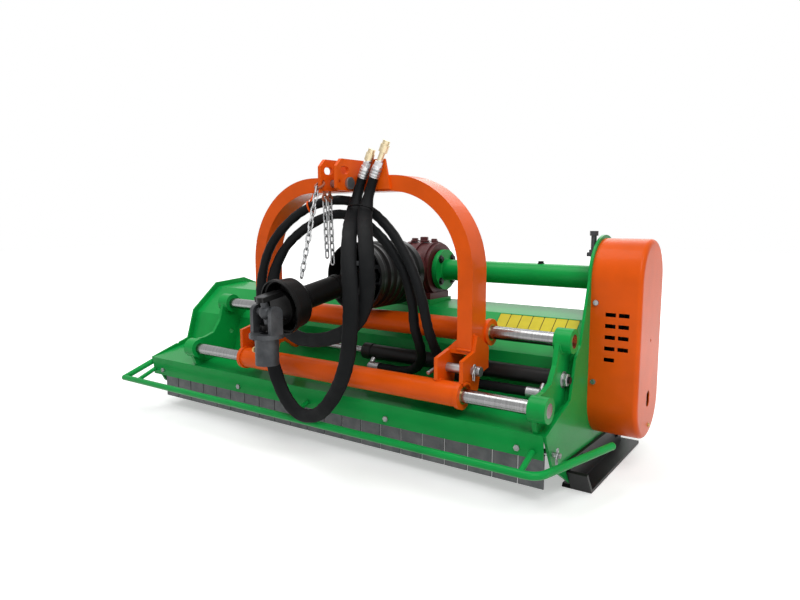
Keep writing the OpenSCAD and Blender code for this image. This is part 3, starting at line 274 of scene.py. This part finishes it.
# Nodes whose finish isn't that of their slot in the record
OWN_FINISH = {
    "left_flaps": "flap_steel",
    "middle_flaps": "flap_steel",
    "right_flaps": "flap_steel",
    "quick_couplers": "coupler_metal",
    "ram_ports": "zinc_steel",
    "belt_tensioner": "bare_steel",
}


def dress_nodes():
    """Each CAD node takes the finish of its slot in the record, or its own."""
    slots = {s["node"]: s["material_slot"] for s in frame["record"]["subparts"]}
    for name, obj in NODES.items():
        obj.data.materials.clear()
        obj.data.materials.append(MATERIALS[OWN_FINISH.get(name) or slots[name]])


dress_nodes()

# Shapes that several pieces use
SWEEP_SMOOTH = 50
FITTING_SMOOTH = 30
HEX_SIDES = 6


def new_object(name, bm):
    """A linked object from a bmesh, which is freed."""
    mesh = bpy.data.meshes.new(name)
    bm.to_mesh(mesh)
    bm.free()
    obj = bpy.data.objects.new(name, mesh)
    bpy.context.scene.collection.objects.link(obj)
    return obj


def smooth(obj, angle):
    """Smooth shading, with edges kept sharp above an angle in degrees."""
    for face in obj.data.polygons:
        face.use_smooth = True
    obj.data.set_sharp_from_angle(angle=math.radians(angle))
    return obj


def oval(wide, thin, sides):
    turns = [2 * math.pi * k / sides for k in range(sides)]
    return [(wide * math.cos(a), thin * math.sin(a)) for a in turns]


def circle(radius, sides):
    return oval(radius, radius, sides)


def arc(x, y, z, radius, start, end, steps=24):
    """Points in millimetres on an arc about an axis along X, from start to end in degrees above +Y."""
    turns = [math.radians(start + (end - start) * k / steps) for k in range(steps + 1)]
    return [(x, y + radius * math.cos(a), z + radius * math.sin(a)) for a in turns]


def spline(points, steps):
    """A smooth line through the points, with that many steps between each two."""
    line = []
    last = len(points) - 1
    for i in range(last):
        a, b = points[max(i - 1, 0)], points[i]
        c, d = points[i + 1], points[min(i + 2, last)]
        for s in range(steps):
            t = s / steps
            line.append(0.5 * (2 * b + (c - a) * t + (2 * a - 5 * b + 4 * c - d) * t ** 2
                               + (3 * b - a - 3 * c + d) * t ** 3))
    return line + [points[-1]]


def line_length(line):
    return sum((q - p).length for p, q in zip(line, line[1:]))


def ease(low, high, value):
    """0 below low, 1 above high, smooth between."""
    t = min(1.0, max(0.0, (value - low) / (high - low)))
    return t * t * (3 - 2 * t)


def sweep(name, line, section, facing=None):
    """A closed tube along the line. section gives a ring's (across, out) pairs at a run along it, in metres.
    With a facing the ring's out axis stays in line with it; otherwise the ring doesn't turn about the line.
    The UV map goes round the tube in U and along it in V, in metres."""
    bm = bmesh.new()
    uv = bm.loops.layers.uv.new("UVMap")
    rings, runs, run = [], [], 0.0
    across = None
    for i, p in enumerate(line):
        tangent = (line[min(i + 1, len(line) - 1)] - line[max(i - 1, 0)]).normalized()
        if facing:
            across = tangent.cross(facing).normalized()
        elif across is None:
            across = tangent.orthogonal().normalized()
        else:
            across = (across - tangent * across.dot(tangent)).normalized()
        out = tangent.cross(across)
        if i:
            run += (p - line[i - 1]).length
        runs.append(run)
        rings.append([bm.verts.new(p + across * a + out * b) for a, b in section(run)])
    sides = len(rings[0])
    girth = sum((rings[0][k].co - rings[0][k - 1].co).length for k in range(sides))
    for i in range(len(rings) - 1):
        for k in range(sides):
            m = (k + 1) % sides
            face = bm.faces.new((rings[i][k], rings[i][m], rings[i + 1][m], rings[i + 1][k]))
            for loop, (u, v) in zip(face.loops, ((k, i), (k + 1, i), (k + 1, i + 1), (k, i + 1))):
                loop[uv].uv = (u * girth / sides, runs[v])
    bm.faces.new(rings[0][::-1])
    bm.faces.new(rings[-1])
    bm.normal_update()
    return smooth(new_object(name, bm), SWEEP_SMOOTH)


# Hoses in loose cloth sleeves. A sleeve is flat where it hangs in front and round in the loops.
HOSE_SIDES = 24
HOSE_STEPS = 8
# Half of a sleeve's width where it is round, across and through its flat stretch, and at its two ends
SLEEVE_ROUND = 0.0148
SLEEVE_WIDE = 0.0225
SLEEVE_THIN = 0.0095
SLEEVE_NECK = 0.0142
# Where it widens from either end and turns flat, in metres, and turns round again, in shares of its length
NECK_LENGTH = 0.03
FLATTENS = (0.03, 0.12)
ROUNDS = (0.42, 0.52)
# Creases: their height in metres, and the rates of their waves and of the waves' drift in radians per metre
CREASE = 0.0007
CREASE_RATE = 150
CREASE_DRIFT = 2
CREASE_DRIFT_RATE = 37
# The flat side lies square to this direction, which is about that of the camera
SLEEVE_FACING = Vector((0.57, -0.82, 0.0))
LONG_ROUTE = [
    (219.2, 38.5, 894.6), (209, 37, 864), (205, 26, 828), (214, 0, 786), (246, -56, 738), (292, -120, 650),
    (318, -144, 550), (312, -142, 450), (284, -128, 350), (226, -112, 250), (150, -104, 176), (64, -98, 164),
    (-10, -92, 220), (-70, -82, 330), (-112, -72, 450), (-126, -60, 570), (-98, -36, 690), (-26, 14, 786),
    (74, 56, 828), (190, 62, 816), (308, 40, 752), (403, 10, 660), (455, 2, 560), (465, 30, 454),
    (463, 74, 386), (470, 99, 347), (491, 119, 314), (530, 133, 292), (576, 138, 284), (650, 138, 284),
    (729.8, 138.4, 284.4),
]
SHORT_ROUTE = [
    (263.2, 38.5, 894.6), (253, 37, 864), (249, 26, 828), (259, 0, 786), (296, -48, 738), (340, -98, 650),
    (344, -104, 560), (304, -96, 480), (220, -88, 426), (120, -80, 400), (30, -74, 404), (-44, -64, 450),
    (-84, -52, 526), (-86, -36, 606), (-54, -12, 684), (10, 20, 746), (104, 38, 784), (204, 38, 770),
    (304, 26, 712), (381, 17, 630), (415, 18, 540), (414, 35, 456), (409, 74, 386), (397, 99, 347),
    (371, 119, 314), (332, 133, 292), (286, 138, 284), (208.2, 138.4, 284.4),
]


def sleeve_half(when_flat, flat, full):
    """Half a sleeve's width, from neck to full and, when full, from round to flat."""
    return SLEEVE_NECK + full * (SLEEVE_ROUND + flat * (when_flat - SLEEVE_ROUND) - SLEEVE_NECK)


def make_hose(name, node, route):
    """A sleeve along the route in place of the CAD's hose."""
    line = spline([at(*p) for p in route], HOSE_STEPS)
    length = line_length(line)

    def ring(run):
        flat = ease(*FLATTENS, run) * (1 - ease(*ROUNDS, run / length))
        full = ease(0.0, NECK_LENGTH, run) * (1 - ease(length - NECK_LENGTH, length, run))
        drift = CREASE_DRIFT * math.sin(run * CREASE_DRIFT_RATE)
        crease = CREASE * math.sin(run * CREASE_RATE + drift) * full
        wide = sleeve_half(SLEEVE_WIDE, flat, full) + crease
        thin = sleeve_half(SLEEVE_THIN, flat, full) - crease
        return oval(wide, thin, HOSE_SIDES)

    hose = sweep(name, line, ring, SLEEVE_FACING)
    hose.data.materials.append(MATERIALS["hose_sleeve"])
    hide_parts(node)
    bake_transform(hose)


make_hose("hose_long_sleeve", "hose_long", LONG_ROUTE)
make_hose("hose_short_sleeve", "hose_short", SHORT_ROUTE)


# Small pieces. Each rides one body and mostly takes the finish named by one of the record's slots.
def fix(obj, body, slot, finish=None):
    obj.data.materials.append(MATERIALS[finish or slot])
    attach(obj, body)


def fix_fitting(name, bm, body, slot):
    fix(smooth(new_object(name, bm), FITTING_SMOOTH), body, slot)


def rod(name, points, radius, body, slot):
    """A round rod along a smooth line through points in millimetres."""
    line = spline([at(*p) for p in points], steps=6)
    fix(sweep(name, line, lambda run: circle(radius, sides=16)), body, slot)


def turned(bm, place, axis, rings, sides=28):
    """Adds a closed turned body. rings are (distance along the axis from place, radius) in millimetres."""
    axis = Vector(axis).normalized()
    across = axis.orthogonal().normalized()
    out = axis.cross(across)
    loops = []
    for reach, radius in rings:
        middle = at(*place) + axis * reach / 1000
        loops.append([bm.verts.new(middle + across * a + out * b) for a, b in circle(radius / 1000, sides)])
    for low, high in zip(loops, loops[1:]):
        for k in range(sides):
            m = (k + 1) % sides
            bm.faces.new((low[k], low[m], high[m], high[k]))
    bm.faces.new(loops[0][::-1])
    bm.faces.new(loops[-1])


def stub(foot, edge, top, radius, top_radius):
    """Rings of a straight body from foot to edge with a chamfer from edge to top, in millimetres."""
    return [(foot, radius), (edge, radius), (top, top_radius)]


def add_head(bm, place, axis, flange, hexagon):
    """Adds a round flange and a hexagon that stands in it. Both are rings for turned."""
    turned(bm, place, axis, flange)
    turned(bm, place, axis, hexagon, HEX_SIDES)


def hex_bolt(name, place, axis, body, slot, size):
    """A washer and a hexagon head on a face. size is the head's radius over its corners, in millimetres."""
    bolt = bmesh.new()
    add_head(bolt, place, axis,
             stub(foot=0, edge=1.6, top=2, radius=size * 1.35, top_radius=size * 1.25),
             stub(foot=1, edge=2 + size * 0.5, top=2 + size * 0.65, radius=size, top_radius=size * 0.86))
    fix_fitting(name, bolt, body, slot)


# A plain yellow strip of panels at the top of the hood's front slope, in millimetres
STRIP_X = 545
STRIP_DROP = 3
STRIP_COUNT = 7
STRIP_PANEL = 37.5
STRIP_HEIGHT = 74
STRIP_ROUND = 3
PANEL_GAP = 1
PANEL_MARGIN = 1.2
# Between which heights over the slope the backing and the panels lie
BACKING_LIFTS = (0.02, 0.25)
PANEL_LIFTS = (0.2, 0.5)


def rounded_rim(width, height):
    """The outline of a flat panel, with each corner rounded in four steps."""
    rim = []
    for x, y, start in ((width, 0, 270), (width, height, 0), (0, height, 90), (0, 0, 180)):
        middle_x = x - STRIP_ROUND if x else STRIP_ROUND
        middle_y = y - STRIP_ROUND if y else STRIP_ROUND
        for k in range(5):
            a = math.radians(start + 22.5 * k)
            rim.append((middle_x + STRIP_ROUND * math.cos(a), middle_y + STRIP_ROUND * math.sin(a)))
    return rim


def plaque(bm, corner, axes, width, height, lifts):
    """Adds a flat panel between two lifts over a sloping face. axes run along it, down it and out of it."""
    along, down, out = axes
    rim = rounded_rim(width, height)
    low, high = [[bm.verts.new(at(*(corner + along * x + down * y + out * lift))) for x, y in rim]
                 for lift in lifts]
    for k in range(len(rim)):
        m = (k + 1) % len(rim)
        bm.faces.new((low[k], low[m], high[m], high[k]))
    bm.faces.new(low[::-1])
    bm.faces.new(high)
    bmesh.ops.recalc_face_normals(bm, faces=bm.faces)


def make_strip():
    along = Vector(ALONG_X)
    down = Vector((0, -HOOD_RUN, -HOOD_FALL)).normalized()
    out = Vector((0, -HOOD_FALL, HOOD_RUN)).normalized()
    axes = (along, down, out)
    corner = Vector((STRIP_X, *HOOD_EDGE)) + down * STRIP_DROP
    backing = bmesh.new()
    plaque(backing, corner, axes, STRIP_PANEL * STRIP_COUNT, STRIP_HEIGHT, BACKING_LIFTS)
    fix(new_object("strip_backing", backing), "deck", "black_plastic")
    panels = bmesh.new()
    for k in range(STRIP_COUNT):
        spot = corner + along * (k * STRIP_PANEL + PANEL_GAP) + down * PANEL_MARGIN
        plaque(panels, spot, axes, STRIP_PANEL - 2 * PANEL_GAP, STRIP_HEIGHT - 2 * PANEL_MARGIN, PANEL_LIFTS)
    fix(new_object("strip_panels", panels), "deck", "black_plastic", "yellow_film")


make_strip()

# Hose hanger: a rod under the arch that ends in a ring round the long hose, in millimetres
HANGER_ROUTE = [(-7, 72, 858), (-6, 64, 846), (2, 48, 834), (9, 36, 827), (11, 33, 825.5)]
HANGER_MIDDLE = Vector((11, 30.5, 806))
HANGER_AXIS = Vector((0.86, 0.36, 0.36)).normalized()
HANGER_RADIUS = 20
HANGER_STEPS = 24
# Radius of the rod and of the ring's wire, in metres
HANGER_ROD = 0.0035
HANGER_WIRE = 0.003


def make_hanger():
    rod("hose_hanger", HANGER_ROUTE, HANGER_ROD, "hitch", "orange_paint")
    side = HANGER_AXIS.cross(Vector(UP)).normalized()
    up = side.cross(HANGER_AXIS)
    turns = [math.radians(90 + 360 * k / HANGER_STEPS) for k in range(HANGER_STEPS + 1)]
    ring = [HANGER_MIDDLE + HANGER_RADIUS * (side * math.cos(a) + up * math.sin(a)) for a in turns]
    rod("hose_hanger_ring", ring, HANGER_WIRE, "hitch", "orange_paint")


make_hanger()

# A tie strap round both hoses under the couplers. The loop is in millimetres, the band in metres.
STRAP_MIDDLE = Vector((232, 10, 800))
STRAP_DEPTH = Vector((0, -0.85, 0.53))
STRAP_FACING = Vector((0, 0.53, 0.85))
STRAP_HALF_WIDTH = 44
STRAP_HALF_DEPTH = 23
STRAP_STEPS = 48
BAND_HALF_WIDTH = 0.0025
BAND_HALF_THICKNESS = 0.0007


def make_strap():
    w, t = BAND_HALF_WIDTH, BAND_HALF_THICKNESS
    band = [(-w, -t), (w, -t), (w, t), (-w, t)]
    line = []
    for k in range(STRAP_STEPS + 1):
        a = 2 * math.pi * k / STRAP_STEPS
        sideways = Vector((STRAP_HALF_WIDTH * math.cos(a), 0, 0))
        line.append(at(*(STRAP_MIDDLE + sideways + STRAP_DEPTH * STRAP_HALF_DEPTH * math.sin(a))))
    fix(sweep("tie_strap", line, lambda run: band, STRAP_FACING), "hitch", "black_plastic")


make_strap()

# Crimp rings on the upper hose ends, in millimetres along each coupler's axis from its foot
COUPLER_TILT = math.radians(25)
COUPLER_FEET = {"long": (232, 38.5, 922), "short": (276, 38.5, 922)}
CRIMP_REACHES = (-27, -18, -9)
CRIMP_LOW = 15.05
CRIMP_HIGH = 15.9


def make_crimps():
    axis = Vector((math.sin(COUPLER_TILT), 0, math.cos(COUPLER_TILT)))
    for side, foot in COUPLER_FEET.items():
        crimps = bmesh.new()
        for reach in CRIMP_REACHES:
            turned(crimps, foot, axis, [(reach, CRIMP_LOW), (reach + 1, CRIMP_HIGH),
                                        (reach + 5, CRIMP_HIGH), (reach + 6, CRIMP_LOW)])
        fix_fitting(f"crimp_rings_{side}", crimps, "hitch", "zinc_steel")


make_crimps()

# Bolts that hold the skids and the axle's flange, and a screw on the belt cover's face, in millimetres
SKID_FACE = 855
SKID_BOLTS = {"front": (262, 79), "rear": (600, 52)}
SKID_BOLT = 9
FLANGE_FACE = 283.6
FLANGE_CIRCLE = 55
FLANGE_BOLT = 10.6
COVER_SCREW_PLACE = (989, 456, 149)
COVER_SCREW = 5


def make_bolts():
    for side, sign in (("left", -1), ("right", 1)):
        for end, spot in SKID_BOLTS.items():
            hex_bolt(f"skid_bolt_{side}_{end}", (sign * SKID_FACE, *spot), (sign, 0, 0), "deck",
                     "black_paint", SKID_BOLT)
    y, z = AXLE
    for k in range(4):
        turn = math.radians(45 + 90 * k)
        place = (FLANGE_FACE, y + FLANGE_CIRCLE * math.cos(turn), z + FLANGE_CIRCLE * math.sin(turn))
        hex_bolt(f"flange_bolt_{k + 1}", place, ALONG_X, "deck", "black_paint", FLANGE_BOLT)
    hex_bolt("cover_face_screw", COVER_SCREW_PLACE, ALONG_X, "deck", "brass", COVER_SCREW)


make_bolts()

# Painted plugs on the gearbox as (x, radius, height), a dark plug on the axle tube and the ram stud's nut
GEARBOX_TOP = 688
GEARBOX_PLUGS = ((150, 12, 11), (190, 15, 16), (232, 11, 10))
AXLE_PLUG_PLACE = (638, AXLE[0], 625)
STUD_NUT_PLACE = (819.8, 178, 324)


def make_plugs():
    plugs = bmesh.new()
    for x, size, height in GEARBOX_PLUGS:
        add_head(plugs, (x, AXLE[0], GEARBOX_TOP), UP,
                 stub(foot=0, edge=4, top=5, radius=size * 1.3, top_radius=size * 1.2),
                 stub(foot=3, edge=height, top=height + 1.5, radius=size, top_radius=size * 0.86))
    fix_fitting("gearbox_top_plugs", plugs, "deck", "maroon_casting")
    plug = bmesh.new()
    add_head(plug, AXLE_PLUG_PLACE, UP,
             stub(foot=0, edge=3.4, top=4, radius=11, top_radius=10.4),
             stub(foot=3, edge=9, top=10.2, radius=9.8, top_radius=8.6))
    fix_fitting("axle_plug", plug, "deck", "black_paint")
    nut = bmesh.new()
    add_head(nut, STUD_NUT_PLACE, ALONG_X,
             stub(foot=0, edge=2.4, top=3, radius=24, top_radius=23.2),
             stub(foot=2, edge=14.4, top=15.8, radius=19.8, top_radius=17.2))
    fix_fitting("ram_stud_nut", nut, "deck", "zinc_steel")


make_plugs()

# Weld beads, in the paint of their body. The beads are in metres, their places in millimetres.
PAINT = {"deck": "green_paint", "hitch": "orange_paint"}
WELD_STEP = 0.0017
WELD_RIPPLE = 0.005
WELD_SIDES = 8
BEAD = 0.004
CLEVIS_BEAD = 0.0045
# The share of its radius that a bead has between ripples, and what a ripple adds
WELD_LOW = 0.78
WELD_RISE = 0.22
SHAFT_JOINT = 35
AXLE_JOINT = 36.5
LEG_EDGE = (62, 397)


def weld(name, points, body, radius=BEAD):
    """A rippled bead along straight runs between points in millimetres."""
    line = []
    for p, q in zip(points, points[1:]):
        p, q = at(*p), at(*q)
        steps = max(1, round((q - p).length / WELD_STEP))
        line += [p.lerp(q, k / steps) for k in range(steps)]
    line.append(at(*points[-1]))

    def ring(run):
        ripple = abs(math.sin(math.pi * run / WELD_RIPPLE))
        return circle(radius * (WELD_LOW + WELD_RISE * ripple), WELD_SIDES)

    fix(sweep(name, line, ring), body, PAINT[body])


def make_welds():
    for x, side in ((820, "right"), (-563, "left")):
        weld(f"weld_front_boss_{side}", arc(x, *FRONT_SHAFT, SHAFT_JOINT, 40, -95), "deck")
        weld(f"weld_rear_boss_{side}", arc(x, *REAR_SHAFT, SHAFT_JOINT, 20, -170), "deck")
    for x, end in ((284, "flange"), (825, "plate")):
        weld(f"weld_axle_{end}", arc(x, *AXLE, AXLE_JOINT, 0, 360, steps=48), "deck")
    weld("weld_pedestal", [(110, *HOOD_EDGE), (270, *HOOD_EDGE)], "deck")
    for x, side in ((603, "right_outer"), (521, "right_inner"), (-287, "left_outer"), (-205, "left_inner")):
        weld(f"weld_clevis_{side}", arc(x, *FRONT_SHAFT, SHAFT_JOINT, -20, 106), "hitch", CLEVIS_BEAD)
    weld("weld_leg_right", [(543, *LEG_EDGE), (591, *LEG_EDGE)], "hitch")
    weld("weld_leg_left", [(-287, *LEG_EDGE), (-239, *LEG_EDGE)], "hitch")
    weld("weld_gusset_right", [(591, 74, 442), (591, 142, 403)], "hitch")
    for x, side in ((126, "left"), (190, "right")):
        weld(f"weld_top_bracket_{side}", [(x, 61.5, 857), (x, 61.5, 902.5), (x, 97, 902.5)], "hitch")


make_welds()

# Stage: a white floor that keeps the shadow, under soft studio light, in metres
WHITE = (1, 1, 1, 1)
FLOOR_HALF = 14
FLOOR_DROP = 0.0005
FLOOR_COLOUR = (0.8, 0.8, 0.8, 1)
# The floor's own glow round the part, and the distances over which it rises to plain white
FLOOR_GLOW = 0.42
FLOOR_NEAR = 1.0
FLOOR_FAR = 2.6
WORLD_LIGHT = 0.4
# Each light's place, aim, size and power in watts
LIGHTS = {
    "key": ((2.8, -2.2, 3.8), (0.1, 0, 0.4), 2.4, 110),
    "top": ((-0.8, -0.6, 4.2), (-0.2, 0, 0.4), 2.4, 70),
    "back": ((-0.6, 3.6, 3.0), (0, 0, 0.4), 2.6, 40),
}


def seen_rays(nodes, links):
    """1 for rays that show the background: camera, glossy and transmission rays."""
    rays = nodes.new("ShaderNodeLightPath")
    total = rays.outputs["Is Camera Ray"]
    for kind in ("Is Glossy Ray", "Is Transmission Ray"):
        total = combine(nodes, links, "MAXIMUM", total, rays.outputs[kind])
    return total


def make_stage():
    """The floor is lit white round the part and fades to plain white further out."""
    bm = bmesh.new()
    bmesh.ops.create_grid(bm, x_segments=1, y_segments=1, size=FLOOR_HALF)
    floor = new_object("floor", bm)
    floor.location = (0, 0, -FLOOR_DROP)
    material, nodes, links, shader = node_tree("floor_white")
    shader.inputs["Base Color"].default_value = FLOOR_COLOUR
    shader.inputs["Roughness"].default_value = 0.9
    shader.inputs["Specular IOR Level"].default_value = 0.0
    where = nodes.new("ShaderNodeTexCoord")
    distance = nodes.new("ShaderNodeVectorMath")
    distance.operation = "LENGTH"
    links.new(where.outputs["Object"], distance.inputs[0])
    fade = nodes.new("ShaderNodeMapRange")
    fade.interpolation_type = "SMOOTHSTEP"
    fade.inputs["From Min"].default_value = FLOOR_NEAR
    fade.inputs["From Max"].default_value = FLOOR_FAR
    fade.inputs["To Min"].default_value = FLOOR_GLOW
    fade.inputs["To Max"].default_value = 1.0
    links.new(distance.outputs["Value"], fade.inputs["Value"])
    glow = combine(nodes, links, "MULTIPLY", fade.outputs["Result"], seen_rays(nodes, links))
    shader.inputs["Emission Color"].default_value = WHITE
    links.new(glow, shader.inputs["Emission Strength"])
    floor.data.materials.append(material)


def make_light(name, place, aim, size, power):
    data = bpy.data.lights.new(name, "AREA")
    data.energy = power
    data.size = size
    lamp = bpy.data.objects.new(name, data)
    lamp.location = place
    lamp.rotation_euler = (Vector(aim) - Vector(place)).to_track_quat("-Z", "Y").to_euler()
    bpy.context.scene.collection.objects.link(lamp)


def make_world():
    """White where it is seen, and a soft even light on the part."""
    world = bpy.data.worlds.new("studio")
    bpy.context.scene.world = world
    world.use_nodes = True
    nodes, links = world.node_tree.nodes, world.node_tree.links
    background = nodes["Background"]
    background.inputs["Color"].default_value = WHITE
    strength = nodes.new("ShaderNodeMapRange")
    strength.inputs["To Min"].default_value = WORLD_LIGHT
    strength.inputs["To Max"].default_value = 1.0
    links.new(seen_rays(nodes, links), strength.inputs["Value"])
    links.new(strength.outputs["Result"], background.inputs["Strength"])


make_stage()
for light_name, light in LIGHTS.items():
    make_light(light_name, *light)
make_world()
bpy.context.scene.view_settings.view_transform = "Standard"
